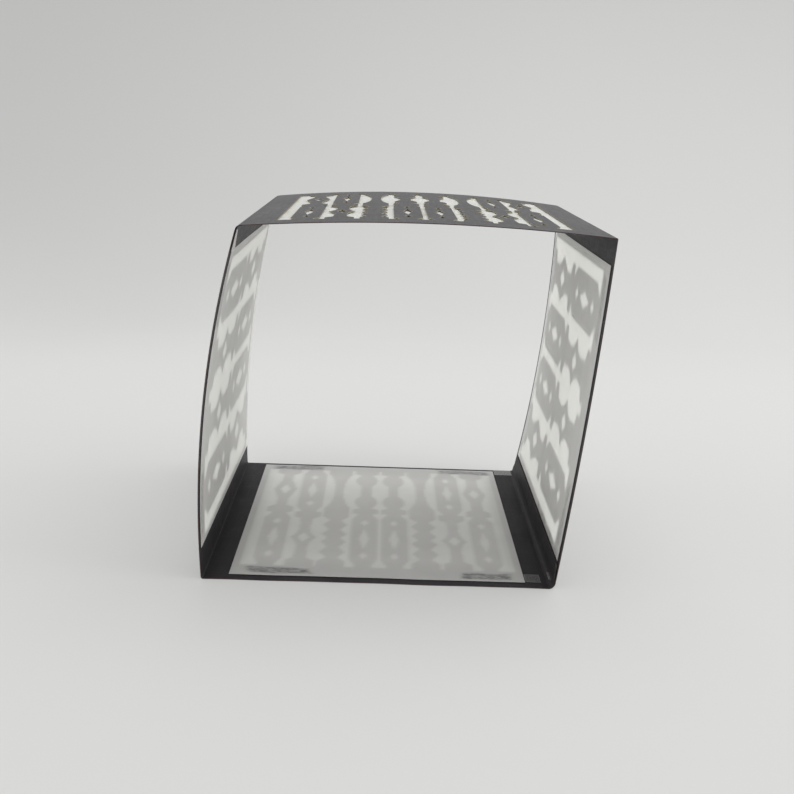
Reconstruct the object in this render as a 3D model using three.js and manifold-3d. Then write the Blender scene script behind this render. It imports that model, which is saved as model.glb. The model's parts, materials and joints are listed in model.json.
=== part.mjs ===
// A luminary sleeve folded from black card: four die-cut panels joined in a square band,
// each with a translucent vellum sheet taped to its inner face.
//
// Millimetres, +Z up. The band lies on its base panel, its open ends face -Y and +Y, and it
// leans towards +X. The origin is the centre of the bounding box's underside.
//
// Every panel is drawn in a frame of its own: u across the panel from crease to crease, y along
// the band, and n outwards from the card's inner face. Seen from -Y, u runs up the left wall,
// to the right along the top, down the right wall, and to the left along the base.

import * as THREE from 'three';
import { mergeVertices } from 'three/addons/utils/BufferGeometryUtils.js';
import Module from 'manifold-3d';

const wasm = await Module();
wasm.setup();

// ---- Driving dimensions ----------------------------------------------------------------

// Band
const DEPTH = 157.5;
const PANEL_WIDTH = 146;
const WALL_WIDTH = 145.8;
const LEAN = THREE.MathUtils.degToRad(5.65);

// How far short of the crease line the flat of a panel stops: at a fold scored in one sheet, and
// at a corner closed by a glue tab, on the tab's own panel and on the panel that it is glued to
const FOLD_SETBACK = 0.6;
const TAB_FOLD_SETBACK = 2.2;
const RAW_EDGE_SETBACK = 1.6;

// Sheets, and the clearance between one sheet and the next
const CARD_THICKNESS = 0.35;
const TAPE_THICKNESS = 0.08;
const VELLUM_THICKNESS = 0.1;
const SHEET_GAP = 0.05;

// Facets of a bowed sheet
const FACETS_ACROSS = 16;
const FACETS_ALONG = 4;

// Window and ornament
const WINDOW_WIDTH = 118;
const WINDOW_DEPTH = 132;
const WINDOW_SIDE_GAP = 3.75;
const ORNAMENT_ROWS = 2;
const CURVE_SEGMENTS = 3;
const CUTTER_REACH = 15;
const CAP_OVERLAP = 0.5;
const MOTIF_FILL = 0.9;

// Vellum sheets
const VELLUM_WIDTH = 124;

// Double-sided tape strips under the corners of the vellum
const TAPE_LENGTH = 26;
const TAPE_WIDTH = 5.8;
const TAPE_INSET_ACROSS = 44;
const TAPE_INSET_REAR = 7.2;
const TAPE_TO_WINDOW = 2.6;

// Glue tabs: flaps with mitred ends, inside the lower right and the upper left corners. A strip
// of the adhesive that holds a tab shows along the mitre at its front end.
const TAB_REACH = 10;
const TAB_START = 2.4;
const TAB_END_INSET = 0.5;
const TABS = {
  upper: { mitre: 7.5, strip: 5 },
  lower: { mitre: 4.5, strip: 1.6 },
};
const TAB_STRIP_GAP = 0.3;
const TAB_STRIP_INSET = 0.4;

// Clear tape on the margin of the base, beside the lower right crease
const EDGE_TAPES = {
  front: { length: 6.8, width: 6.6, fromCrease: 4.4, fromEnd: 8 },
  rear: { length: 9.4, width: 5.4, fromCrease: 1.6, fromEnd: 2 },
};

// The four panels. The bow is how far the middle of a panel stands out from the line between its
// creases, at the front end and at the rear end. setback and sides name the two halves of a panel,
// u < 0 first.
const PANELS = {
  base: {
    width: PANEL_WIDTH,
    setback: [TAB_FOLD_SETBACK, FOLD_SETBACK],
    bow: { front: 0, rear: 0 },
    columns: 8,
    windowFront: 15.4,
    vellum: { u: 0.4, front: 4.6, rear: 3 },
    sides: ['right', 'left'],
  },
  left_wall: {
    width: WALL_WIDTH,
    setback: [FOLD_SETBACK, RAW_EDGE_SETBACK],
    bow: { front: 6.15, rear: 5.1 },
    columns: 4,
    windowFront: 12.8,
    vellum: { u: -0.5, front: 2.2, rear: 3 },
    sides: ['low', 'high'],
  },
  top: {
    width: PANEL_WIDTH,
    setback: [TAB_FOLD_SETBACK, FOLD_SETBACK],
    bow: { front: 3.3, rear: 4.2 },
    columns: 8,
    windowFront: 13.4,
    vellum: { u: 0, front: 3, rear: 2.6 },
    sides: ['left', 'right'],
  },
  right_wall: {
    width: WALL_WIDTH,
    setback: [FOLD_SETBACK, RAW_EDGE_SETBACK],
    bow: { front: 1.2, rear: 3.6 },
    columns: 4,
    windowFront: 15.2,
    vellum: { u: -0.2, front: 3.4, rear: 2.4 },
    sides: ['high', 'low'],
  },
};

// ---- Materials -------------------------------------------------------------------------

const CARD = new THREE.MeshStandardMaterial({ color: 0x242226, roughness: 0.9, metalness: 0 });
const VELLUM = new THREE.MeshStandardMaterial({ color: 0xc9c9c5, roughness: 0.6, metalness: 0 });
const TAPE = new THREE.MeshStandardMaterial({ color: 0x8d8e90, roughness: 0.35, metalness: 0 });

// ---- Solids ----------------------------------------------------------------------------

function solidOf(geometry) {
  geometry.deleteAttribute('normal');
  geometry.deleteAttribute('uv');
  const merged = mergeVertices(geometry);
  return new wasm.Manifold(new wasm.Mesh({
    numProp: 3,
    vertProperties: Float32Array.from(merged.attributes.position.array),
    triVerts: Uint32Array.from(merged.index.array),
  }));
}

function geometryOf(solid) {
  const mesh = solid.getMesh();
  const geometry = new THREE.BufferGeometry();
  geometry.setAttribute('position', new THREE.BufferAttribute(mesh.vertProperties, 3));
  geometry.setIndex(new THREE.BufferAttribute(mesh.triVerts, 1));
  geometry.computeVertexNormals();
  return geometry;
}

// A prism along n, long enough to pass right through a bowed sheet.
function prismOf(shape) {
  const geometry = new THREE.ExtrudeGeometry(shape, {
    depth: 2 * CUTTER_REACH,
    bevelEnabled: false,
    curveSegments: CURVE_SEGMENTS,
  });
  geometry.translate(0, 0, -CUTTER_REACH);
  return solidOf(geometry);
}

function rectangle(uLow, uHigh, yLow, yHigh) {
  const shape = new THREE.Shape();
  shape.moveTo(uLow, yLow);
  shape.lineTo(uHigh, yLow);
  shape.lineTo(uHigh, yHigh);
  shape.lineTo(uLow, yHigh);
  shape.closePath();
  return shape;
}

// How far a panel's inner face stands out from its chord: a parabola across the panel, whose
// height changes evenly from the front end to the rear end.
function bowAt(panel, u, y) {
  const along = y / DEPTH + 0.5;
  const height = THREE.MathUtils.lerp(panel.bow.front, panel.bow.rear, along);
  return height * (1 - (2 * u / panel.width) ** 2);
}

// A sheet that covers the whole panel between two levels of n. Every layer of a panel is cut
// from the same facets, so that the layers stay parallel.
function bowedSheet(panel, nLow, nHigh) {
  const isFlat = panel.bow.front === 0 && panel.bow.rear === 0;
  const [startSetback, endSetback] = panel.setback;
  const geometry = new THREE.BoxGeometry(
    panel.width - startSetback - endSetback,
    DEPTH,
    nHigh - nLow,
    isFlat ? 1 : FACETS_ACROSS,
    isFlat ? 1 : FACETS_ALONG,
    1,
  );
  geometry.translate((startSetback - endSetback) / 2, 0, (nLow + nHigh) / 2);
  const position = geometry.attributes.position;
  for (let i = 0; i < position.count; i += 1) {
    const bow = bowAt(panel, position.getX(i), position.getY(i));
    position.setZ(i, position.getZ(i) + bow);
  }
  return solidOf(geometry);
}

// ---- Ornament --------------------------------------------------------------------------
//
// Each motif is symmetric about its centre line and about its middle. Its outline is given as
// steps from the end cap (v = 0) to the middle (v = 0.5), with r as a fraction of the motif's
// half width and v as a fraction of its length. A step of four numbers is a curve: its control
// point, then its end. Holes are pointed slots on the centre line: [v, half width, half length].

const MOTIFS = {
  spindle: {
    outline: [[1, 0.1], [0.46, 0.15], [0.46, 0.3], [0.94, 0.5]],
    holes: [[0.5, 0.4, 0.11]],
  },
  link: {
    outline: [[0.6, 0.04], [1, 0.13], [1, 0.5]],
    holes: [[0.2, 0.28, 0.06], [0.5, 0.36, 0.19], [0.8, 0.28, 0.06]],
  },
  hourglass: {
    outline: [[1, 0.11], [0.36, 0.24, 0.36, 0.5]],
    holes: [],
  },
  baluster: {
    outline: [[1, 0.09], [0.46, 0.12], [1.36, 0.25, 0.42, 0.39], [0.42, 0.5]],
    holes: [],
  },
  star: {
    outline: [[1, 0.1], [0.5, 0.14], [0.4, 0.3], [0.42, 0.43, 0.97, 0.5]],
    holes: [[0.5, 0.4, 0.09]],
  },
  sawtooth: {
    outline: [[1, 0.09], [0.44, 0.16], [0.92, 0.25], [0.44, 0.34], [0.92, 0.43], [0.5, 0.5]],
    holes: [],
  },
};

const NARROW_ROWS = [
  ['link', 'star', 'sawtooth', 'link'],
  ['spindle', 'link', 'hourglass', 'baluster'],
];
const WIDE_ROWS = [
  ['link', 'star'],
  ['spindle', 'link'],
];

// Draws one side of a motif. side is 1 on the way out to the far cap and -1 on the way back.
function drawSide(shape, motif, place, side) {
  const u = (r) => place.u + side * r * place.halfWidth;
  const y = (v) => place.y + side * (v - 0.5) * place.length;
  const ends = motif.outline.map((step) => step.slice(-2));
  motif.outline.forEach((step) => {
    if (step.length === 2) shape.lineTo(u(step[0]), y(step[1]));
    else shape.quadraticCurveTo(u(step[0]), y(step[1]), u(step[2]), y(step[3]));
  });
  for (let i = ends.length - 1; i >= 0; i -= 1) {
    const previous = i > 0 ? ends[i - 1] : [ends[0][0], 0];
    const step = motif.outline[i];
    if (step.length === 2) shape.lineTo(u(previous[0]), y(1 - previous[1]));
    else shape.quadraticCurveTo(u(step[0]), y(1 - step[1]), u(previous[0]), y(1 - previous[1]));
  }
}

function motifShape(motif, place) {
  const shape = new THREE.Shape();
  const capHalf = motif.outline[0][0] * place.halfWidth;
  shape.moveTo(place.u + capHalf, place.y - place.length / 2);
  drawSide(shape, motif, place, 1);
  shape.lineTo(place.u - capHalf, place.y + place.length / 2);
  drawSide(shape, motif, place, -1);
  shape.closePath();
  motif.holes.forEach(([v, halfWidth, halfLength]) => {
    const y = place.y + (v - 0.5) * place.length;
    const hole = new THREE.Path();
    hole.moveTo(place.u, y - halfLength * place.length);
    hole.lineTo(place.u - halfWidth * place.halfWidth, y);
    hole.lineTo(place.u, y + halfLength * place.length);
    hole.lineTo(place.u + halfWidth * place.halfWidth, y);
    hole.closePath();
    shape.holes.push(hole);
  });
  return shape;
}

// One row of motif names, mirrored about the panel's centre line.
function fullRow(half) {
  return [...half, ...half.toReversed()];
}

// What is cut out of a card panel: its window, less the motifs that stand in it.
function windowCutter(panel) {
  const rows = panel.columns === 2 * NARROW_ROWS[0].length ? NARROW_ROWS : WIDE_ROWS;
  const pitch = (WINDOW_WIDTH - 2 * WINDOW_SIDE_GAP) / panel.columns;
  const rowLength = WINDOW_DEPTH / ORNAMENT_ROWS;
  const front = -DEPTH / 2 + panel.windowFront;
  let cutter = prismOf(rectangle(-WINDOW_WIDTH / 2, WINDOW_WIDTH / 2, front, front + WINDOW_DEPTH));
  rows.forEach((half, row) => {
    fullRow(half).forEach((name, column) => {
      const place = {
        u: (column - (panel.columns - 1) / 2) * pitch,
        y: front + (row + 0.5) * rowLength,
        halfWidth: MOTIF_FILL * pitch / 2,
        length: rowLength + 2 * CAP_OVERLAP,
      };
      cutter = cutter.subtract(prismOf(motifShape(MOTIFS[name], place)));
    });
  });
  return cutter;
}

// ---- Sub-parts -------------------------------------------------------------------------

// Levels of n of each layer, working inwards from the card's inner face at n = 0.
const TAPE_LEVELS = [-SHEET_GAP - TAPE_THICKNESS, -SHEET_GAP];
const VELLUM_TOP = TAPE_LEVELS[0] - SHEET_GAP;
const VELLUM_LEVELS = [VELLUM_TOP - VELLUM_THICKNESS, VELLUM_TOP];
const TAB_LEVELS = [-SHEET_GAP - CARD_THICKNESS, -SHEET_GAP];

// A layer of a panel, trimmed to an outline.
function layer(panel, levels, outline) {
  return bowedSheet(panel, levels[0], levels[1]).intersect(prismOf(outline));
}

function namedMesh(name, solid, material) {
  const mesh = new THREE.Mesh(geometryOf(solid), material);
  mesh.name = name;
  return mesh;
}

function cardPanel(name, panel) {
  const card = bowedSheet(panel, 0, CARD_THICKNESS).subtract(windowCutter(panel));
  return namedMesh(`${name}_panel`, card, CARD);
}

function vellumSheet(name, panel) {
  const outline = rectangle(
    panel.vellum.u - VELLUM_WIDTH / 2,
    panel.vellum.u + VELLUM_WIDTH / 2,
    -DEPTH / 2 + panel.vellum.front,
    DEPTH / 2 - panel.vellum.rear,
  );
  return namedMesh(`${name}_vellum`, layer(panel, VELLUM_LEVELS, outline), VELLUM);
}

function tapeStrip(name, panel, end, side) {
  const u = (side === 0 ? -1 : 1) * TAPE_INSET_ACROSS;
  const frontCentre = -DEPTH / 2 + panel.windowFront - TAPE_TO_WINDOW - TAPE_WIDTH / 2;
  const y = end === 'front' ? frontCentre : DEPTH / 2 - TAPE_INSET_REAR;
  const outline = rectangle(
    u - TAPE_LENGTH / 2,
    u + TAPE_LENGTH / 2,
    y - TAPE_WIDTH / 2,
    y + TAPE_WIDTH / 2,
  );
  const label = `${name}_tape_${end}_${panel.sides[side]}`;
  return namedMesh(label, layer(panel, TAPE_LEVELS, outline), TAPE);
}

function tapeStrips(name, panel) {
  return ['front', 'rear'].flatMap((end) => [0, 1].map((side) => tapeStrip(name, panel, end, side)));
}

// A flap that lies inside a wall, next to the wall's crease at +u, with its ends mitred.
function glueTab(name, panel, { mitre }) {
  const root = panel.width / 2 - TAB_START;
  const tip = panel.width / 2 - TAB_REACH;
  const end = DEPTH / 2 - TAB_END_INSET;
  const outline = new THREE.Shape();
  outline.moveTo(root, -end);
  outline.lineTo(root, end);
  outline.lineTo(tip, end - mitre);
  outline.lineTo(tip, -end + mitre);
  outline.closePath();
  return namedMesh(name, layer(panel, TAB_LEVELS, outline), CARD);
}

// The adhesive that shows in front of a tab: a strip along the mitre, cut off by the card's edge.
function tabTape(name, panel, { mitre, strip }) {
  const slope = mitre / (TAB_REACH - TAB_START);
  const root = panel.width / 2 - TAB_START;
  const mitreAt = (u) => -DEPTH / 2 + TAB_END_INSET - TAB_STRIP_GAP + slope * (root - u);
  const front = -DEPTH / 2 + TAB_STRIP_INSET;
  const start = root - (front - mitreAt(root)) / slope;
  const tip = panel.width / 2 - TAB_REACH;
  const corner = Math.max(tip, start - strip / slope);
  const outline = new THREE.Shape();
  outline.moveTo(start, front);
  outline.lineTo(tip, mitreAt(tip));
  outline.lineTo(tip, Math.max(front, mitreAt(tip) - strip));
  outline.lineTo(corner, front);
  outline.closePath();
  return namedMesh(name, layer(panel, TAPE_LEVELS, outline), TAPE);
}

// A bit of clear tape on the base's margin, beside the crease at -u.
function edgeTape(end, panel) {
  const tape = EDGE_TAPES[end];
  const u = -panel.width / 2 + tape.fromCrease;
  const front = -DEPTH / 2 + tape.fromEnd;
  const rear = DEPTH / 2 - tape.fromEnd - tape.width;
  const y = end === 'front' ? front : rear;
  const outline = rectangle(u, u + tape.length, y, y + tape.width);
  return namedMesh(`base_edge_tape_${end}`, layer(panel, TAPE_LEVELS, outline), TAPE);
}

// ---- Assembly --------------------------------------------------------------------------

// Puts a panel's frame in place: its middle halfway between two creases, its n axis turned
// outwards by an angle about Y, counted from +Z towards +X.
function panelGroup(name, panel, centre, outward, extras) {
  const group = new THREE.Group();
  group.add(cardPanel(name, panel), vellumSheet(name, panel), ...tapeStrips(name, panel), ...extras);
  group.position.set(centre.x, 0, centre.z);
  group.rotation.y = outward;
  return group;
}

const wallRun = WALL_WIDTH * Math.sin(LEAN);
const wallRise = WALL_WIDTH * Math.cos(LEAN);
const baseLevel = CARD_THICKNESS;
const wallMiddle = baseLevel + wallRise / 2;
const { base, left_wall: leftWall, top, right_wall: rightWall } = PANELS;

const sleeve = new THREE.Group();
sleeve.add(
  panelGroup('base', base, { x: 0, z: baseLevel }, Math.PI, [
    edgeTape('front', base),
    edgeTape('rear', base),
  ]),
  panelGroup(
    'left_wall',
    leftWall,
    { x: (wallRun - PANEL_WIDTH) / 2, z: wallMiddle },
    LEAN - Math.PI / 2,
    [
      glueTab('upper_glue_tab', leftWall, TABS.upper),
      tabTape('upper_tab_tape', leftWall, TABS.upper),
    ],
  ),
  panelGroup('top', top, { x: wallRun, z: baseLevel + wallRise }, 0, []),
  panelGroup(
    'right_wall',
    rightWall,
    { x: (wallRun + PANEL_WIDTH) / 2, z: wallMiddle },
    LEAN + Math.PI / 2,
    [
      glueTab('lower_glue_tab', rightWall, TABS.lower),
      tabTape('lower_tab_tape', rightWall, TABS.lower),
    ],
  ),
);

const box = new THREE.Box3().setFromObject(sleeve, true);
sleeve.position.x = -(box.min.x + box.max.x) / 2;

export default sleeve;
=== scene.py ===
import json
import math

import bpy
import numpy as np
from mathutils import Matrix, Vector
from mathutils.geometry import delaunay_2d_cdt


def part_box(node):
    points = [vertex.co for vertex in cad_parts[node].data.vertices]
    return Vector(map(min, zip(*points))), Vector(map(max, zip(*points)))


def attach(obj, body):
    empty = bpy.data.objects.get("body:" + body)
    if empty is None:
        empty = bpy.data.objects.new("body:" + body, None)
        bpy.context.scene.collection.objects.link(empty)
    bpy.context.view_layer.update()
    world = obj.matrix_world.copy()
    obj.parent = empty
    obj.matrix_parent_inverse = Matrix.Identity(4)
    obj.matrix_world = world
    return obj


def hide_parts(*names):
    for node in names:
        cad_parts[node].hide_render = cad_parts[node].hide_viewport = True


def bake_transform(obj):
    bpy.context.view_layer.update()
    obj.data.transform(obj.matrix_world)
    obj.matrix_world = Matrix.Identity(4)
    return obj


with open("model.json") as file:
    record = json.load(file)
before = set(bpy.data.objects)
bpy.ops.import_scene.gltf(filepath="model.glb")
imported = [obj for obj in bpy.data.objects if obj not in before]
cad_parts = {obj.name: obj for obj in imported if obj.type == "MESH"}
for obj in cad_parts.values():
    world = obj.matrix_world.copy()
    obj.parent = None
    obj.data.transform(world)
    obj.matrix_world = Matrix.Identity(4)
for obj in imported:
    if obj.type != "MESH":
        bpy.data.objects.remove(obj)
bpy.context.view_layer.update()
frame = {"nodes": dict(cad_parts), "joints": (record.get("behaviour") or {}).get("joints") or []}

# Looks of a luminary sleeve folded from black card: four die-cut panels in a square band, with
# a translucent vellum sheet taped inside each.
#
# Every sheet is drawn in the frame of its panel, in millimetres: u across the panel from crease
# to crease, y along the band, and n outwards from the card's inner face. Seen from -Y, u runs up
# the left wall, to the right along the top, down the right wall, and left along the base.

MM = 0.001


# ---- The frame's own dimensions --------------------------------------------------------------

def joint_point(name):
    """Where a joint's axis passes through y = 0, in millimetres."""
    joint = next(j for j in frame["joints"] if j["name"] == name)
    return np.array(joint["pos_m"]) / MM


LOWER_LEFT = joint_point("left_fold")
LOWER_RIGHT = joint_point("right_fold")
UPPER_LEFT = joint_point("upper_left_fold")
UPPER_RIGHT = LOWER_RIGHT + UPPER_LEFT - LOWER_LEFT

BASE_LOW, BASE_HIGH = (np.array(corner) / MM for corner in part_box("base_panel"))
DEPTH = BASE_HIGH[1] - BASE_LOW[1]
CARD = BASE_HIGH[2] - BASE_LOW[2]
FRONT = -DEPTH / 2
REAR = DEPTH / 2

# The smooth bow is this share of the faceted one, so that it stays inside the facets' box
BOW_SHARE = 0.997

# How far from a crease it still holds the card's edge straight
CREASE_REACH = 16


class Panel:
    """One side of the band, between two creases. columns is how many motifs stand side by side
    in its window, and window_front how far the window is from the front edge. waves is how high
    the front edge ripples and how far back that reaches."""

    def __init__(self, name, start, end, columns, window_front, waves=(0, 0)):
        self.name = name
        self.columns = columns
        self.window_front = FRONT + window_front
        self.waves = waves
        self.centre = (start + end) / 2
        self.width = np.linalg.norm(end - start)
        self.across = (end - start) / self.width
        self.outward = np.array([-self.across[2], 0, self.across[0]])
        u, y, n = self.local_points(f"{name}_panel").T
        self.start, self.end = u.min(), u.max()
        self.bow_front = BOW_SHARE * (n[y < FRONT + 1].max() - CARD)
        self.bow_rear = BOW_SHARE * (n[y > REAR - 1].max() - CARD)

    def local_points(self, node):
        """A CAD node's vertices in this panel's frame, with the bow still in n."""
        points = np.array([v.co for v in frame["nodes"][node].data.vertices]) / MM
        offset = points - self.centre
        return np.stack([offset @ self.across, points[:, 1], offset @ self.outward], axis=1)

    def local_box(self, node):
        """A CAD node's extent in this panel's frame: u low, u high, y low, y high."""
        u, y, _ = self.local_points(node).T
        return u.min(), u.max(), y.min(), y.max()

    def bow(self, u, y):
        """How far the panel stands out from its chord: a parabola across it."""
        height = self.bow_front + (self.bow_rear - self.bow_front) * (y - FRONT) / DEPTH
        return height * (1 - (2 * u / self.width) ** 2)

    def lift(self, u, y):
        """How far the free front edge ripples inwards; it dies out towards the middle."""
        height, reach = self.waves
        if height == 0:
            return np.zeros_like(u)
        ripple = 0.5 + 0.3 * np.sin(u / 11 + 0.6) + 0.2 * np.sin(u / 5.3 + 2)
        pinned = np.clip((self.width / 2 - np.abs(u)) / CREASE_REACH, 0, 1)
        return height * ripple * pinned * np.exp(-(y - FRONT) / reach)

    def place(self, u, y, n):
        """Panel coordinates in millimetres to points of the row frame in metres."""
        u, y, n = np.broadcast_arrays(*(np.asarray(v, float) for v in (u, y, n)))
        out = n + self.bow(u, y) - self.lift(u, y)
        points = self.centre + u[..., None] * self.across + out[..., None] * self.outward
        points[..., 1] = y
        return points * MM


PANELS = [
    Panel("base", LOWER_RIGHT, LOWER_LEFT, columns=8, window_front=15.4, waves=(0.3, 7)),
    Panel("left_wall", LOWER_LEFT, UPPER_LEFT, columns=4, window_front=12.8),
    Panel("top", UPPER_LEFT, UPPER_RIGHT, columns=8, window_front=13.4),
    Panel("right_wall", UPPER_RIGHT, LOWER_RIGHT, columns=4, window_front=15.2),
]
BASE, LEFT_WALL, TOP, RIGHT_WALL = PANELS


# ---- Ornament ----------------------------------------------------------------------------------
#
# Each motif is symmetric about its centre line and about its middle. Its outline is given as
# steps from the end cap (v = 0) to the middle (v = 0.5), with r as a share of the motif's half
# width and v as a share of its length. A step of four numbers is a curve: its control point,
# then its end. Holes are pointed slots on the centre line: (v, half width, half length).

WINDOW_WIDTH = 118
WINDOW_DEPTH = 132
WINDOW_SIDE_GAP = 3.75
CAP_OVERLAP = 0.5
MOTIF_FILL = {"base": 0.9, "left_wall": 0.8, "top": 0.84, "right_wall": 0.8}
CURVE_STEPS = 10

MOTIFS = {
    "spindle": ([(1, 0.1), (0.46, 0.15), (0.46, 0.3), (0.94, 0.5)], [(0.5, 0.4, 0.11)]),
    "link": (
        [(0.6, 0.04), (1, 0.13), (1, 0.5)],
        [(0.2, 0.28, 0.06), (0.5, 0.36, 0.19), (0.8, 0.28, 0.06)],
    ),
    "hourglass": ([(1, 0.11), (0.36, 0.24, 0.36, 0.5)], []),
    "baluster": ([(1, 0.09), (0.46, 0.12), (1.36, 0.25, 0.42, 0.39), (0.42, 0.5)], []),
    "star": ([(1, 0.1), (0.5, 0.14), (0.4, 0.3), (0.42, 0.43, 0.97, 0.5)], [(0.5, 0.4, 0.09)]),
    "sawtooth": (
        [(1, 0.09), (0.44, 0.16), (0.92, 0.25), (0.44, 0.34), (0.92, 0.43), (0.5, 0.5)],
        [],
    ),
}

# The left half of each row, front row first, by the number of motifs in a whole row
ROWS = {
    8: [["link", "star", "sawtooth", "link"], ["spindle", "link", "hourglass", "baluster"]],
    4: [["link", "star"], ["spindle", "link"]],
}


def quarter_outline(steps):
    """Points (r, v) of an outline from its end cap to its middle."""
    points = [(steps[0][0], 0.0)]
    for step in steps:
        if len(step) == 2:
            points.append(step)
            continue
        (r0, v0), (rc, vc, r1, v1) = points[-1], step
        for t in np.linspace(0, 1, CURVE_STEPS + 1)[1:]:
            a, b, c = (1 - t) ** 2, 2 * t * (1 - t), t * t
            points.append((a * r0 + b * rc + c * r1, a * v0 + b * vc + c * v1))
    return points


def motif_loops(name, u, y, half_width, length):
    """A motif's outline and its holes, as arrays of (u, y)."""
    steps, holes = MOTIFS[name]
    quarter = quarter_outline(steps)
    side = quarter + [(r, 1 - v) for r, v in reversed(quarter[:-1])]
    outline = side + [(-r, v) for r, v in reversed(side)]
    loops = [outline] + [
        [(0, v - long), (wide, v), (0, v + long), (-wide, v)] for v, wide, long in holes
    ]
    scale = np.array([half_width, length])
    origin = np.array([u, y - length / 2])
    return [origin + np.array(loop) * scale for loop in loops]


def rectangle(box):
    u_low, u_high, y_low, y_high = box
    return np.array([(u_low, y_low), (u_high, y_low), (u_high, y_high), (u_low, y_high)])


def window_loops(panel):
    """The window's rectangle, and the loops of each motif that stands in it."""
    front = panel.window_front
    half = WINDOW_WIDTH / 2
    window = rectangle((-half, half, front, front + WINDOW_DEPTH))
    rows = ROWS[panel.columns]
    pitch = (WINDOW_WIDTH - 2 * WINDOW_SIDE_GAP) / panel.columns
    row_length = WINDOW_DEPTH / len(rows)
    motifs = []
    for row, names in enumerate(rows):
        for column, name in enumerate(names + names[::-1]):
            u = (column - (panel.columns - 1) / 2) * pitch
            y = front + (row + 0.5) * row_length
            size = (MOTIF_FILL[panel.name] * pitch / 2, row_length + 2 * CAP_OVERLAP)
            motifs.append(motif_loops(name, u, y, *size))
    return window, motifs


def inside(loop, u, y):
    """Which points lie inside a closed loop, by counting the edges to one side of each."""
    result = np.zeros(u.shape, bool)
    for (u0, y0), (u1, y1) in zip(loop, np.roll(loop, -1, axis=0)):
        if y0 == y1:
            continue
        crosses = ((y0 > y) != (y1 > y)) & (u < u0 + (y - y0) * (u1 - u0) / (y1 - y0))
        result ^= crosses
    return result


def is_card(panel, u, y):
    """Which points of a panel are card, and not open window."""
    window, motifs = window_loops(panel)
    card = ~inside(window, u, y)
    for outline, *holes in motifs:
        solid = inside(outline, u, y)
        for hole in holes:
            solid &= ~inside(hole, u, y)
        card |= solid
    return card


# ---- Mesh building -----------------------------------------------------------------------------

SHARP_ANGLE = math.radians(35)


def make_piece(name, points, faces, materials, face_materials=None):
    """A mesh object of the row frame, smooth but for its sharp edges."""
    mesh = bpy.data.meshes.new(name)
    mesh.from_pydata([tuple(p) for p in points], [], [tuple(int(i) for i in f) for f in faces])
    for material in materials:
        mesh.materials.append(material)
    if face_materials is not None:
        mesh.polygons.foreach_set("material_index", np.array(face_materials, np.int32))
    mesh.validate()
    mesh.shade_smooth()
    mesh.set_sharp_from_angle(angle=SHARP_ANGLE)
    piece = bpy.data.objects.new(name, mesh)
    bpy.context.scene.collection.objects.link(piece)
    return piece


def set_attribute(piece, name, values):
    attribute = piece.data.attributes.new(name, "FLOAT", "POINT")
    attribute.data.foreach_set("value", np.asarray(values, np.float32))


def thicken(faces, count):
    """Faces of a closed sheet over a flat pattern of count points: the inner side keeps the
    pattern's numbers, the outer side adds count. Also says which faces are rim."""
    edges = {}
    for face in faces:
        for a, b in zip(face, face[1:] + face[:1]):
            edges[(a, b)] = edges.get((a, b), 0) + 1
    rim = [(a, b) for a, b in edges if (b, a) not in edges]
    outer = [tuple(i + count for i in face) for face in faces]
    inner = [tuple(reversed(face)) for face in faces]
    walls = [(a, b, b + count, a + count) for a, b in rim]
    return outer + inner + walls, [0] * (2 * len(faces)) + [1] * len(walls)


def grid(u_values, y_values):
    """Points and faces of a rectangular pattern, with u running fastest."""
    u, y = np.meshgrid(u_values, y_values)
    across = len(u_values)
    faces = [
        (row * across + i, row * across + i + 1, (row + 1) * across + i + 1, (row + 1) * across + i)
        for row in range(len(y_values) - 1)
        for i in range(across - 1)
    ]
    return u.ravel(), y.ravel(), faces


def steps_between(low, high, step):
    """Evenly spaced values from low to high, about one step apart."""
    return np.linspace(low, high, max(2, round((high - low) / step) + 1))


def loft(rings):
    """Faces of a closed tube through rings of points, all with the same count, and its points."""
    count = len(rings[0])
    points = np.concatenate(rings)
    faces = []
    for ring in range(len(rings) - 1):
        for i in range(count):
            j = (i + 1) % count
            a, b = ring * count, (ring + 1) * count
            faces.append((a + i, b + i, b + j, a + j))
    faces.append(tuple(range(count)))
    faces.append(tuple(reversed(range((len(rings) - 1) * count, len(rings) * count))))
    return points, faces


# ---- Materials ---------------------------------------------------------------------------------

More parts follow.
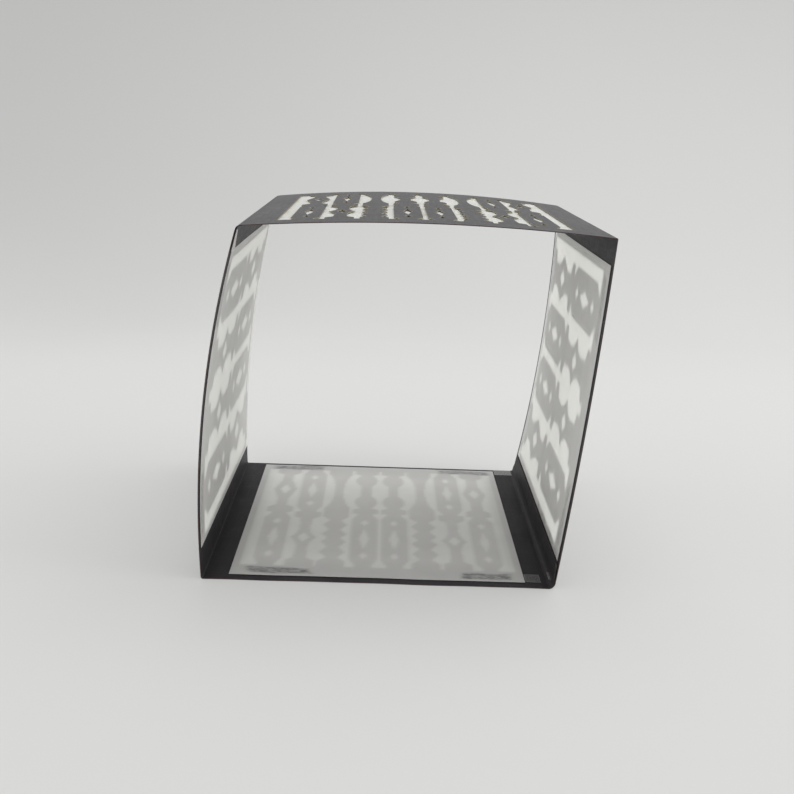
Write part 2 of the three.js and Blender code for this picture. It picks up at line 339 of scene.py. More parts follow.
class Shader:
    """A node material, built up from a Principled shader."""

    def __init__(self, name, colour, roughness, specular=0.5):
        self.material = bpy.data.materials.new(name)
        self.material.use_nodes = True
        self.tree = self.material.node_tree
        self.principled = self.tree.nodes["Principled BSDF"]
        self.output = self.tree.nodes["Material Output"]
        self.principled.inputs["Base Color"].default_value = (*colour, 1)
        self.principled.inputs["Roughness"].default_value = roughness
        self.principled.inputs["Specular IOR Level"].default_value = specular
        self.place = self.node("ShaderNodeTexCoord").outputs["Object"]

    def node(self, kind, **settings):
        node = self.tree.nodes.new(kind)
        for key, value in settings.items():
            setattr(node, key, value)
        return node

    def link(self, source, target):
        self.tree.links.new(source, target)

    def feed(self, target, value):
        """Sets an input to a number or colour, or links it to another node's output."""
        if isinstance(value, bpy.types.NodeSocket):
            self.link(value, target)
        elif isinstance(value, (tuple, list)):
            target.default_value = (*value, 1) if len(value) == 3 else value
        else:
            target.default_value = value

    def noise(self, scale, detail=3, stretch=(1, 1, 1), rough=0.5):
        """Noise over the row frame, in metres: a scale of 1000 gives grain of about a millimetre."""
        mapping = self.node("ShaderNodeMapping")
        mapping.inputs["Scale"].default_value = stretch
        self.link(self.place, mapping.inputs["Vector"])
        noise = self.node("ShaderNodeTexNoise")
        noise.inputs["Scale"].default_value = scale
        noise.inputs["Detail"].default_value = detail
        noise.inputs["Roughness"].default_value = rough
        self.link(mapping.outputs["Vector"], noise.inputs["Vector"])
        return noise.outputs["Fac"]

    def attribute(self, name):
        return self.node("ShaderNodeAttribute", attribute_name=name).outputs["Fac"]

    def ramp(self, value, low, high, to_low=0.0, to_high=1.0):
        """Maps value smoothly from low..high to to_low..to_high, and holds it outside that."""
        node = self.node("ShaderNodeMapRange", interpolation_type="SMOOTHSTEP")
        self.feed(node.inputs["Value"], value)
        limits = {"From Min": low, "From Max": high, "To Min": to_low, "To Max": to_high}
        for key, number in limits.items():
            node.inputs[key].default_value = number
        return node.outputs["Result"]

    def math(self, operation, a, b):
        node = self.node("ShaderNodeMath", operation=operation)
        self.feed(node.inputs[0], a)
        self.feed(node.inputs[1], b)
        return node.outputs["Value"]

    def mix(self, share, a, b):
        node = self.node("ShaderNodeMix", data_type="RGBA")
        self.feed(node.inputs["Factor"], share)
        self.feed(node.inputs["A"], a)
        self.feed(node.inputs["B"], b)
        return node.outputs["Result"]

    def colour(self, value):
        self.feed(self.principled.inputs["Base Color"], value)

    def roughness(self, value):
        self.feed(self.principled.inputs["Roughness"], value)

    def bump(self, height, strength, distance):
        node = self.node("ShaderNodeBump")
        node.inputs["Strength"].default_value = strength
        node.inputs["Distance"].default_value = distance
        self.link(height, node.inputs["Height"])
        self.link(node.outputs["Normal"], self.principled.inputs["Normal"])
        return node.outputs["Normal"]


# How deep the grain of each stuff is, in metres
CARD_RELIEF = 0.00005
VELLUM_RELIEF = 0.00004
CLEAR_TAPE_RELIEF = 0.00005
ADHESIVE_RELIEF = 0.00008
BACKDROP_RELIEF = 0.002

CARD_DARK = (0.0222, 0.0199, 0.0226)
CARD_LIGHT = (0.0312, 0.0284, 0.0318)
CARD_WORN = (0.06, 0.055, 0.057)


def card_material(name, sheen=0.22, worn=0.0):
    """Matt black card: fine grain, short fibres both ways, faint mottling, and a nap that greys
    it where it is seen edge on. worn is the least share of worn fibres, as along a fold."""
    shader = Shader(name, CARD_DARK, roughness=0.45, specular=0.05)
    grain = shader.noise(2600, detail=4, rough=0.65)
    along = shader.noise(700, detail=3, stretch=(1, 0.16, 1))
    across = shader.noise(700, detail=3, stretch=(0.16, 1, 0.16))
    cloud = shader.noise(28, detail=3)
    fibres = shader.math("ADD", along, across)
    relief = shader.math("ADD", grain, fibres)
    shader.bump(relief, 0.3, CARD_RELIEF)
    tone = shader.mix(shader.ramp(cloud, 0.3, 0.7), CARD_DARK, CARD_LIGHT)
    wear = shader.ramp(fibres, 1.0, 1.35, worn, 1.0 if worn else 0.12)
    shader.colour(shader.mix(wear, tone, CARD_WORN))
    shader.roughness(shader.ramp(fibres, 0.6, 1.4, 0.4, 0.52))
    shader.principled.inputs["Sheen Weight"].default_value = sheen
    shader.principled.inputs["Sheen Roughness"].default_value = 0.2
    return shader.material


def cut_edge_material(name, dark, pale):
    """A cut edge of the card, where the layers of its core show."""
    shader = Shader(name, dark, roughness=0.85, specular=0.2)
    layers = shader.noise(3000, detail=3, stretch=(1, 0.3, 1))
    shader.colour(shader.mix(shader.ramp(layers, 0.35, 0.65), dark, pale))
    shader.bump(layers, 0.5, CARD_RELIEF)
    return shader.material


# The dark of vellum soaked by adhesive, also used for painted shade
VELLUM_WET_AND_SHADED = (0.05, 0.05, 0.049)
VELLUM_STAIN = (0.42, 0.36, 0.2)
VELLUM_THROUGH = (0.98, 0.98, 0.96)


def vellum_material(name, on_card, in_gap, through, roughness, specular):
    """Frosted vellum. Over the gaps of the card behind it, a share of the light comes through.
    Its colour is painted too: paler over the gaps and near a rear edge that light gets behind, as
    painted light coming through, and darker over the card, as painted shade of the card behind,
    darker still along a pressed border, as painted shade, and where adhesive soaks it; that same
    darkening also paints shade along the right wall's lower front edge."""
    shader = Shader(name, on_card, roughness, specular)
    gap = shader.attribute("gap")
    free = shader.attribute("free")
    wet = shader.attribute("wet")
    stain = shader.attribute("stain")
    cloud = shader.noise(70, detail=4)
    fibre = shader.noise(420, detail=4, stretch=(1, 0.4, 1), rough=0.6)
    streak = shader.noise(520, detail=4, stretch=(0.5, 1.1, 0.5), rough=0.7)
    # Painted light and shade: paler over the gaps and near a rear edge lit from behind, darker over
    # the card
    painted_through_light = shader.mix(shader.math("MAXIMUM", gap, free), on_card, in_gap)
    # Painted shade along the pressed border
    tone = shader.mix(shader.attribute("pressed"), painted_through_light, VELLUM_WET_AND_SHADED)
    mottled = shader.mix(shader.ramp(cloud, 0.35, 0.7, 0.0, 0.06), tone, VELLUM_WET_AND_SHADED)
    streaks = shader.ramp(streak, 0.4, 0.58, 0.45, 0.95)
    # Adhesive marks, and on the right wall also a strip of painted shade
    wetted_and_shaded = shader.mix(shader.math("MULTIPLY", wet, streaks), mottled, VELLUM_WET_AND_SHADED)
    blotch = shader.ramp(shader.noise(95, detail=2), 0.5, 0.62)
    shader.colour(shader.mix(shader.math("MULTIPLY", stain, blotch), wetted_and_shaded, VELLUM_STAIN))
    normal = shader.bump(fibre, 0.15, VELLUM_RELIEF)
    light = shader.node("ShaderNodeBsdfTranslucent")
    light.inputs["Color"].default_value = (*VELLUM_THROUGH, 1)
    shader.link(normal, light.inputs["Normal"])
    blend = shader.node("ShaderNodeMixShader")
    shader.link(shader.ramp(gap, 0.1, 0.9, 0.0, through), blend.inputs["Fac"])
    shader.link(shader.principled.outputs["BSDF"], blend.inputs[1])
    shader.link(light.outputs["BSDF"], blend.inputs[2])
    shader.link(blend.outputs["Shader"], shader.output.inputs["Surface"])
    return shader.material


ADHESIVE_DARK = (0.16, 0.16, 0.17)
ADHESIVE_PALE = (0.38, 0.38, 0.39)


def adhesive_material():
    """Double-sided tape: cloudy, streaked along its length."""
    shader = Shader("adhesive", (0.3, 0.3, 0.31), roughness=0.4)
    streak = shader.noise(420, detail=4, stretch=(0.2, 1.2, 0.3), rough=0.7)
    share = shader.ramp(streak, 0.35, 0.65)
    shader.colour(shader.mix(share, ADHESIVE_DARK, ADHESIVE_PALE))
    shader.roughness(shader.ramp(streak, 0.3, 0.7, 0.3, 0.6))
    shader.bump(streak, 0.5, ADHESIVE_RELIEF)
    return shader.material


def tape_material(name, middle, rim, coat=0.4, specular=0.5):
    """Clear tape with a paler rim, where it stands off what is under it."""
    shader = Shader(name, middle, roughness=0.3, specular=specular)
    edge = shader.attribute("edge")
    haze = shader.noise(500, detail=3, stretch=(1, 0.5, 1))
    body = shader.mix(shader.ramp(haze, 0.35, 0.65, 0.0, 0.35), middle, rim)
    shader.colour(shader.mix(edge, body, rim))
    shader.roughness(shader.ramp(haze, 0.3, 0.7, 0.22, 0.42))
    shader.bump(haze, 0.25, CLEAR_TAPE_RELIEF)
    shader.principled.inputs["Coat Weight"].default_value = coat
    shader.principled.inputs["Coat Roughness"].default_value = 0.25
    return shader.material


CARD_FACE = card_material("black_card")
CARD_INSIDE = card_material("black_card_inside", sheen=0.08)
CARD_FOLD = card_material("black_card_fold", sheen=0.12, worn=0.3)
CARD_EDGE = cut_edge_material("card_cut_edge", (0.042, 0.028, 0.03), (0.11, 0.07, 0.066))
DIE_CUT_EDGE = cut_edge_material("card_die_cut_edge", (0.2, 0.18, 0.13), (0.42, 0.39, 0.3))
# Copies of one vellum, with tones painted for how each panel is lit: painted shade on the base,
# which lies on the floor, painted backlight on the walls, and flatter painted tones on the top
VELLUM_PAINTED_FOR_FLOOR = vellum_material(
    "vellum_on_floor",
    on_card=(0.515, 0.51, 0.496),
    in_gap=(0.715, 0.715, 0.696),
    through=0.06,
    roughness=0.3,
    specular=1.0,
)
VELLUM_PAINTED_BACKLIT = vellum_material(
    "vellum_lit",
    on_card=(0.67, 0.665, 0.648),
    in_gap=(0.97, 0.97, 0.955),
    through=0.6,
    roughness=0.42,
    specular=0.5,
)
VELLUM_PAINTED_FOR_TOP = vellum_material(
    "vellum_above",
    on_card=(0.58, 0.575, 0.56),
    in_gap=(0.62, 0.62, 0.6),
    through=0.45,
    roughness=0.5,
    specular=0.4,
)
ADHESIVE = adhesive_material()
# Clear tape whose paler colours are painted glare; the rear edge tape and the corner sliver take it
TAPE_PAINTED_GLARE = tape_material("clear_tape", (0.05, 0.049, 0.051), (0.15, 0.148, 0.15))
TAPE_DARK = tape_material(
    "clear_tape_flat", (0.014, 0.0135, 0.0145), (0.1, 0.098, 0.1), coat=0.05, specular=0.3
)
TAPE_WHITE = tape_material("clear_tape_backed", (0.4, 0.39, 0.39), (0.5, 0.49, 0.49))


# ---- Card panels -------------------------------------------------------------------------------

STRIP_ACROSS = 4
STRIP_ALONG = 10
MERGE_DISTANCE = 1e-4

# Points nearer than this to a line count as on it
ON_LINE = 0.01


def cut_sheet(loops, box, keep, across=STRIP_ACROSS, along=STRIP_ALONG):
    """Triangles of a flat sheet between the given loops, with cross lines so that it can bend.
    keep says which points of the sheet are solid."""
    u_low, u_high, y_low, y_high = box
    points, edges = [], []
    for loop in loops:
        first, count = len(points), len(loop)
        points += [tuple(p) for p in loop]
        edges += [(first + i, first + (i + 1) % count) for i in range(count)]
    lines = [((u, y_low), (u, y_high)) for u in steps_between(u_low, u_high, across)[1:-1]]
    lines += [((u_low, y), (u_high, y)) for y in steps_between(y_low, y_high, along)[1:-1]]
    for line in lines:
        edges.append((len(points), len(points) + 1))
        points += line
    corners = [Vector(p) for p in points]
    vertices, _, triangles, *_ = delaunay_2d_cdt(corners, edges, [], 0, MERGE_DISTANCE)
    flat = np.array([tuple(v) for v in vertices])
    centres = flat[np.array(triangles)].mean(axis=1)
    kept = [tuple(t) for t, solid in zip(triangles, keep(*centres.T)) if solid]
    used = sorted({i for t in kept for i in t})
    number = {old: new for new, old in enumerate(used)}
    return flat[used], [tuple(number[i] for i in t) for t in kept]


def cut_pattern(panel):
    """A panel's card, less its window."""
    window, motifs = window_loops(panel)
    box = (panel.start, panel.end, FRONT, REAR)
    loops = [rectangle(box), window] + [loop for motif in motifs for loop in motif]
    return cut_sheet(loops, box, lambda u, y: is_card(panel, u, y))


def face_kind(panel, flat, face, is_rim):
    """Which material a face takes: 0 outside, 1 inside, and on the rim 2 at the panel's own
    border and 3 in the window."""
    if not is_rim:
        return 0 if face[0] >= len(flat) else 1
    u, y = flat[[i % len(flat) for i in face]].mean(axis=0)
    border = min(u - panel.start, panel.end - u, y - FRONT, REAR - y)
    return 2 if border < ON_LINE else 3


def card_panel(panel):
    """A panel's card, bowed and cut through by its window."""
    flat, triangles = cut_pattern(panel)
    faces, rim = thicken(triangles, len(flat))
    kinds = [face_kind(panel, flat, face, is_rim) for face, is_rim in zip(faces, rim)]
    u, y = flat.T
    points = np.concatenate([panel.place(u, y, 0), panel.place(u, y, CARD)])
    materials = [CARD_FACE, CARD_INSIDE, CARD_EDGE, DIE_CUT_EDGE]
    piece = make_piece(f"{panel.name}_card", points, faces, materials, kinds)
    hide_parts(f"{panel.name}_panel")
    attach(piece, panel.name)
    return piece


for panel in PANELS:
    card_panel(panel)


# ---- Vellum sheets -----------------------------------------------------------------------------

VELLUM_STEP = 1.2
VELLUM_LEVELS = (-0.28, -0.18)
RASTER = 0.5

# How each sheet looks and how it lies, in millimetres and degrees:
#   blur          how far it softens the outlines of the card behind it
#   soak          how much the adhesive soaks it, at the front strips and at the rear ones
#   pressed       how much darker it is, as painted shade, along the border pressed to the card
#   rear_curl     how far the middle of its rear edge stands off the card
#   rear_trim     how much shorter than the CAD's sheet it is, so that its rear edge shows card
#   light_reach   how far in from its rear edge it is painted pale, as light getting in behind it
#   shift, askew  how far it is from its place, as it was taped down by hand
LIES_FLAT = {
    "pressed": 0, "rear_curl": 0, "rear_trim": 0, "light_reach": 0, "shift": (0, 0), "askew": 0
}
SHEETS = {
    "base": {
        **LIES_FLAT, "material": VELLUM_PAINTED_FOR_FLOOR, "blur": 0.5, "soak": (1.15, 1.0), "pressed": 0.23
    },
    "left_wall": {
        **LIES_FLAT, "material": VELLUM_PAINTED_BACKLIT, "blur": 0.9, "soak": (0.5, 0.4),
        "rear_curl": 0.35, "light_reach": 8, "shift": (0.9, 1.2), "askew": 0.6,
    },
    "top": {
        **LIES_FLAT, "material": VELLUM_PAINTED_FOR_TOP, "blur": 1.1, "soak": (0.5, 0.4), "rear_curl": 0.2
    },
    "right_wall": {
        **LIES_FLAT, "material": VELLUM_PAINTED_BACKLIT, "blur": 0.9, "soak": (0.4, 0.4),
        "rear_trim": 1.9, "light_reach": 8,
    },
}

# How far a sheet's middle stands off the card, how nearly the painted light from behind its rear
# edge makes it as pale as over a gap, and how wide its pressed border of painted shade is
STAND_OFF = 0.22
REAR_PALENESS = 0.95
PRESSED_END = 13
PRESSED_SIDE = 5

# The soaked patches: how softly and how unevenly they end, and where one is not the size of
# its strip, how far each side of it moves
SOAK_MARGIN = 1.2
SOAK_UNEVEN = 0.8
SOAK_STRETCH = 2.2
SOAK_GROWTH = {"base_front_left": (-2.6, -2.6, 0, 0), "base_front_right": (1.5, -5.0, 0, 0)}

# Painted shade on the right wall's sheet, drawn like adhesive: a strip along the front of its
# lower edge
SHADED_EDGE_WIDTH = 2.6
SHADED_EDGE_LENGTH = 66
SHADED_EDGE_PAST_EDGE = 5
SHADED_EDGE_DARKNESS = 0.5


def blurred(field, sigma):
    """A field smoothed by a Gaussian along both axes."""
    reach = int(3 * sigma) + 1
    kernel = np.exp(-0.5 * (np.arange(-reach, reach + 1) / sigma) ** 2)
    kernel /= kernel.sum()
    padded = np.pad(field, reach, mode="edge")
    rows = np.apply_along_axis(lambda r: np.convolve(r, kernel, mode="valid"), 1, padded)
    return np.apply_along_axis(lambda c: np.convolve(c, kernel, mode="valid"), 0, rows)


def gap_field(panel, box):
    """How open the card is behind a sheet, softened as the sheet scatters the light."""
    u = np.arange(box[0], box[1] + RASTER, RASTER)
    y = np.arange(box[2], box[3] + RASTER, RASTER)
    u_grid, y_grid = np.meshgrid(u, y)
    open_share = 1.0 - is_card(panel, u_grid.ravel(), y_grid.ravel()).reshape(u_grid.shape)
    return u, y, blurred(open_share, SHEETS[panel.name]["blur"] / RASTER)


def sample(field, u_axis, y_axis, u, y):
    """Reads a field between its grid points."""
    i = np.clip((u - u_axis[0]) / RASTER, 0, len(u_axis) - 1.001)
    j = np.clip((y - y_axis[0]) / RASTER, 0, len(y_axis) - 1.001)
    i0, j0 = i.astype(int), j.astype(int)
    a, b = i - i0, j - j0
    low = field[j0, i0] * (1 - a) + field[j0, i0 + 1] * a
    high = field[j0 + 1, i0] * (1 - a) + field[j0 + 1, i0 + 1] * a
    return low * (1 - b) + high * b


def ripple(u, y, seed):
    """A smooth irregular value between -1 and 1."""
    a = np.sin(u / 7.1 + seed) * np.cos(y / 3.3 + 1.7 * seed)
    b = np.sin(u / 2.9 + 2.3 * seed + y / 4.1)
    return (a + 0.6 * b) / 1.6


def patch(box, u, y, seed):
    """How strongly a patch marks a sheet: not at all outside a box, most along its irregular
    border, and a little less inside that."""
    to_side = np.minimum(u - box[0], box[1] - u) / SOAK_STRETCH
    to_end = np.minimum(y - box[2], box[3] - y)
    depth = (np.minimum(to_side, to_end) + SOAK_UNEVEN * ripple(u, y, seed)) / SOAK_MARGIN
    cover = np.clip(depth + 0.5, 0, 1)
    rim = np.exp(-((depth - 0.7) ** 2))
    return cover * (0.7 + 0.3 * rim)


def tape_labels(panel):
    """The places of a panel's strips of tape, as in their CAD nodes' names."""
    prefix = f"{panel.name}_tape_"
    return sorted(n[len(prefix):] for n in frame["nodes"] if n.startswith(prefix))


def slack(panel, u, y, box):
    """How far a sheet stands off the card between its taped corners."""
    across = (u - box[0]) / (box[1] - box[0])
    along = (y - box[2]) / (box[3] - box[2])
    middle = np.sin(math.pi * across) * np.sin(math.pi * along)
    stand_off = STAND_OFF * middle * (1 + 0.5 * np.sin(4.3 * across + 2.1 * along))
    rear_edge = np.clip((along - 0.8) / 0.2, 0, 1) ** 2
    return stand_off + SHEETS[panel.name]["rear_curl"] * rear_edge * np.sin(math.pi * across) ** 0.5


def painted_rear_light(panel, y, box):
    """Painted light: how pale a sheet is painted near its rear edge, where it stands clear of the
    card and light gets behind it.
    """
    reach = SHEETS[panel.name]["light_reach"]
    if reach == 0:
        return np.zeros_like(y)
    return REAR_PALENESS * np.clip((y - box[3] + reach) / (0.3 * reach), 0, 1)


def pressed_border_shade(panel, u, y, box):
    """Painted shade: how dark a sheet is painted where it is pressed flat to the card, most at its
    taped edges.
    """
    side = np.minimum(u - box[0], box[1] - u) / PRESSED_SIDE
    end = np.minimum(y - box[2], box[3] - y) / PRESSED_END
    return SHEETS[panel.name]["pressed"] * np.clip(1.5 - np.minimum(side, end), 0, 1)


def turned(u, y, angle):
    """Points turned a little about the sheet's middle, where it was taped down askew."""
    middle = (y.min() + y.max()) / 2
    along = y - middle
    cosine, sine = math.cos(angle), math.sin(angle)
    return u * cosine - along * sine, middle + u * sine + along * cosine


def wetness_and_edge_shade(panel, u, y, box, seed):
    """Where adhesive soaks a sheet over its tape, and where painted shade darkens the right wall's
    sheet along the front of its lower edge.
    """
    wet = np.zeros_like(u)
    for label in tape_labels(panel):
        strip = panel.local_box(f"{panel.name}_tape_{label}")
        growth = SOAK_GROWTH.get(f"{panel.name}_{label}", (0, 0, 0, 0))
        strip = [side + shift for side, shift in zip(strip, growth)]
        soak = SHEETS[panel.name]["soak"][0 if label.startswith("front") else 1]
        wet = np.maximum(wet, soak * patch(strip, u, y, seed + len(label)))
    # Painted shade: the right wall's sheet darkened along the front of its lower edge
    if panel is RIGHT_WALL:
        edge_u = (box[1] - SHADED_EDGE_WIDTH, box[1] + SHADED_EDGE_PAST_EDGE)
        edge_y = (box[2] - SHADED_EDGE_PAST_EDGE, box[2] + SHADED_EDGE_LENGTH)
        wet = np.maximum(wet, SHADED_EDGE_DARKNESS * patch((*edge_u, *edge_y), u, y, seed))
    return wet


def vellum_sheet(panel, seed):
    """A panel's vellum, with the attributes that its material reads."""
    node = f"{panel.name}_vellum"
    sheet = SHEETS[panel.name]
    u_low, u_high, y_low, y_high = panel.local_box(node)
    box = (u_low, u_high, y_low, y_high - sheet["rear_trim"])
    u, y, faces = grid(
        steps_between(box[0], box[1], VELLUM_STEP), steps_between(box[2], box[3], VELLUM_STEP)
    )
    sag = slack(panel, u, y, box)
    free = painted_rear_light(panel, y, box)
    pressed = pressed_border_shade(panel, u, y, box)
    shift_u, shift_y = sheet["shift"]
    u, y = turned(u + shift_u, y + shift_y, math.radians(sheet["askew"]))
    u_axis, y_axis, field = gap_field(panel, box)
    gap = sample(field, u_axis, y_axis, u, y)
    wet = wetness_and_edge_shade(panel, u, y, box, seed)
    none = np.zeros_like(u)
    stain = np.clip(1 - np.abs(gap - 0.5) / 0.45, 0, 1) if panel is TOP else none
    points = np.concatenate([panel.place(u, y, level - sag) for level in VELLUM_LEVELS])
    closed, _ = thicken(faces, len(u))
    piece = make_piece(f"{panel.name}_vellum_sheet", points, closed, [sheet["material"]])
    # Each attribute has its values on the inner side, then those on the side towards the card
    # gap and free carry painted light and shade, pressed carries painted shade, and the adhesive
    # attribute also carries the right wall's painted edge shade
    set_attribute(piece, "gap", np.concatenate([gap, np.ones_like(gap)]))
    set_attribute(piece, "free", np.concatenate([free, free]))
    set_attribute(piece, "pressed", np.concatenate([pressed, none]))
    set_attribute(piece, "wet", np.concatenate([wet, none]))
    set_attribute(piece, "stain", np.concatenate([none, stain]))
    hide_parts(node)
    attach(piece, panel.name)
    return piece


for seed, panel in enumerate(PANELS):
    vellum_sheet(panel, seed)


# ---- Tape --------------------------------------------------------------------------------------

TAPE_LEVELS = (-0.13, -0.05)
TAPE_STEP = 0.8
RAGGED_END = 1.2
CLEAN_END = 0.3

# The bits of clear tape on the base's right margin, and how far each side of the CAD's moves;
# the rear bit takes tape painted paler, as painted glare
EDGE_TAPES = {
    "front": (TAPE_DARK, (0, 0, -2.6, -1.0)),
    "rear": (TAPE_PAINTED_GLARE, (-0.9, 0, -1.2, 1.4)),
}


def tape_piece(name, panel, node, material, seed, ragged, grow=(0, 0, 0, 0)):
    """A bit of tape with uneven ends, and a rim that the material can find. grow moves each side
    of its box."""
    box = [side + shift for side, shift in zip(panel.local_box(node), grow)]
    u, y, faces = grid(steps_between(*box[:2], TAPE_STEP), steps_between(*box[2:], TAPE_STEP))
    middle = (box[0] + box[1]) / 2
    half = (box[1] - box[0]) / 2
    end_share = ((u - middle) / half) ** 4
    cut = ragged * (0.5 + 0.5 * np.sin(y * 2.3 + seed) * np.cos(y * 0.9 + 2 * seed))
    pulled = u - np.sign(u - middle) * end_share * cut
    level = 0.25 * (TAPE_LEVELS[1] - TAPE_LEVELS[0]) * ripple(u, y, seed)
    inner = panel.place(pulled, y, TAPE_LEVELS[0] + np.maximum(level, 0))
    outer = panel.place(pulled, y, TAPE_LEVELS[1])
    closed, _ = thicken(faces, len(u))
    piece = make_piece(name, np.concatenate([inner, outer]), closed, [material])
    to_edge = np.minimum(np.minimum(u - box[0], box[1] - u), np.minimum(y - box[2], box[3] - y))
    edge = np.clip(1 - to_edge / TAPE_STEP, 0, 1)
    set_attribute(piece, "edge", np.concatenate([edge, edge]))
    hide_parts(node)
    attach(piece, panel.name)
    return piece


for seed, panel in enumerate(PANELS):
    for number, label in enumerate(tape_labels(panel)):
        tape_piece(
            f"{panel.name}_strip_{label}",
            panel,
            f"{panel.name}_tape_{label}",
            ADHESIVE,
            3 * seed + number,
            RAGGED_END,
        )

for seed, (end, (material, grow)) in enumerate(EDGE_TAPES.items()):
    node = f"base_edge_tape_{end}"
    name = f"base_clear_tape_{end}"
    tape_piece(name, BASE, node, material, seed, CLEAN_END, grow)


# ---- Glue tabs ---------------------------------------------------------------------------------

TAB_LEVELS = (-0.40, -0.05)
FILM_LEVELS = (-0.53, -0.45)
FLAP_ACROSS = 1.5
FLAP_ALONG = 4

# A turn less than this, as twice the area of its triangle, is left out of an outline
STRAIGHT = 0.01


def turn(a, b, c):
    """Positive where the way from a to b to c turns left."""
    return (b[0] - a[0]) * (c[1] - a[1]) - (b[1] - a[1]) * (c[0] - a[0])


def hull(points):
    """The corners of the convex outline round some points, in order."""
    ordered = sorted({(round(u, 3), round(y, 3)) for u, y in points})

    def half(run):
        kept = []
        for p in run:
            while len(kept) > 1 and turn(kept[-2], kept[-1], p) <= STRAIGHT:
                kept.pop()
            kept.append(p)
        return kept[:-1]

    return np.array(half(ordered) + half(ordered[::-1]))


def flap(name, panel, node, outline, levels, materials):
    """A thin piece with a convex outline, bent with its panel, in place of a CAD node."""
    (u_low, y_low), (u_high, y_high) = outline.min(axis=0), outline.max(axis=0)
    box = (u_low, u_high, y_low, y_high)
    flat, triangles = cut_sheet(
        [outline], box, lambda u, y: inside(outline, u, y), FLAP_ACROSS, FLAP_ALONG
    )
    faces, rim = thicken(triangles, len(flat))
    u, y = flat.T
    points = np.concatenate([panel.place(u, y, level) for level in levels])
    kinds = rim if len(materials) > 1 else None
    piece = make_piece(name, points, faces, materials, kinds)
    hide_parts(node)
    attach(piece, panel.name)
    return piece


def node_outline(panel, node):
    """A flat CAD node's outline in its panel's frame."""
    return hull(panel.local_points(node)[:, :2])


def tab(name, panel, node):
    """A glue tab of card."""
    outline = node_outline(panel, node)
    return flap(name, panel, node, outline, TAB_LEVELS, [CARD_INSIDE, CARD_EDGE])


def film(name, panel, node, material, towards_fold=0.0, rearwards=0.0):
    """Tape over the mitred end of a glue tab. It can reach further to the fold and to the rear
    than the CAD's strip, which ends at the tab."""
    outline = node_outline(panel, node)
    u_low, u_high = outline[:, 0].min(), outline[:, 0].max()
    front = outline[:, 1].min()
    rear_low = outline[outline[:, 0] < u_low + ON_LINE, 1].max()
    rear_high = outline[outline[:, 0] > u_high - ON_LINE, 1].max()
    fold = u_high + towards_fold
    corners = [(u_low, front), (fold, front), (fold, rear_high + rearwards)]
    outline = np.array([*corners, (u_low, rear_low + rearwards)])
    piece = flap(name, panel, node, outline, FILM_LEVELS, [material])
    set_attribute(piece, "edge", np.zeros(len(piece.data.vertices)))
    return piece


tab("upper_tab_card", LEFT_WALL, "upper_glue_tab")
tab("lower_tab_card", RIGHT_WALL, "lower_glue_tab")
film("upper_tab_film", LEFT_WALL, "upper_tab_tape", TAPE_WHITE, towards_fold=1.2, rearwards=3.4)
film("lower_tab_film", RIGHT_WALL, "lower_tab_tape", TAPE_DARK)


# ---- Folds -------------------------------------------------------------------------------------

FOLD_STATIONS = 25
FOLD_POINTS = 9
BUTT_GAP = 0.06
TANGENT_STEP = 0.05

# How far a fold's section goes straight on from each panel, as a share of the way to the crease
OUTER_SHARPNESS = {"lower_left_fold": 0.7, "lower_right_fold": 0.6, "upper_left_fold": 0.85}
INNER_SHARPNESS = 0.85

# The ridge that scoring raises along the inside of a fold, in millimetres, and its section
SCORE_BEAD = 0.16
BEAD_PROFILE = np.array([0, 0, 0.3, 1, 0.55, 1, 0.3, 0, 0])

# The radius of each half of the open corner, as a share of the card's thickness
CORNER_RADIUS = {"upper_right_fold_top": 0.97, "upper_right_fold_wall": 0.88}

# The tape sliver in a corner, painted pale all over as a highlight: from the base's edge,
# from the front edge, and its height
SLIVER_REACH = (2.1, 1.0)
SLIVER_SPAN = (6.8, 14.8)
SLIVER_LEVELS = (-0.95, -0.87)


def bezier(a, b, c, d, count):
    """Points of a cubic curve from a to d, with b and c as its controls."""
    t = np.linspace(0, 1, count)[:, None]
    return (1 - t) ** 3 * a + 3 * t * (1 - t) ** 2 * b + 3 * t * t * (1 - t) * c + t ** 3 * d


def tangent(panel, u, y, n):
    """The direction of +u along a panel's surface."""
    step = panel.place(u + TANGENT_STEP, y, n) - panel.place(u - TANGENT_STEP, y, n)
    return step / np.linalg.norm(step)


def fold_side(crease, ends, sharpness):
    """One side of a fold's section: a curve from the edge of one panel to the edge of the next."""
    (panel_a, u_a, y_a, n_a), (panel_b, u_b, y_b, n_b) = ends
    start, end = panel_a.place(u_a, y_a, n_a), panel_b.place(u_b, y_b, n_b)
    reach_a = sharpness * np.linalg.norm(crease - start)
    reach_b = sharpness * np.linalg.norm(crease - end)
    out = start + tangent(panel_a, u_a, y_a, n_a) * reach_a
    back = end - tangent(panel_b, u_b, y_b, n_b) * reach_b
    return bezier(start, out, back, end, FOLD_POINTS)


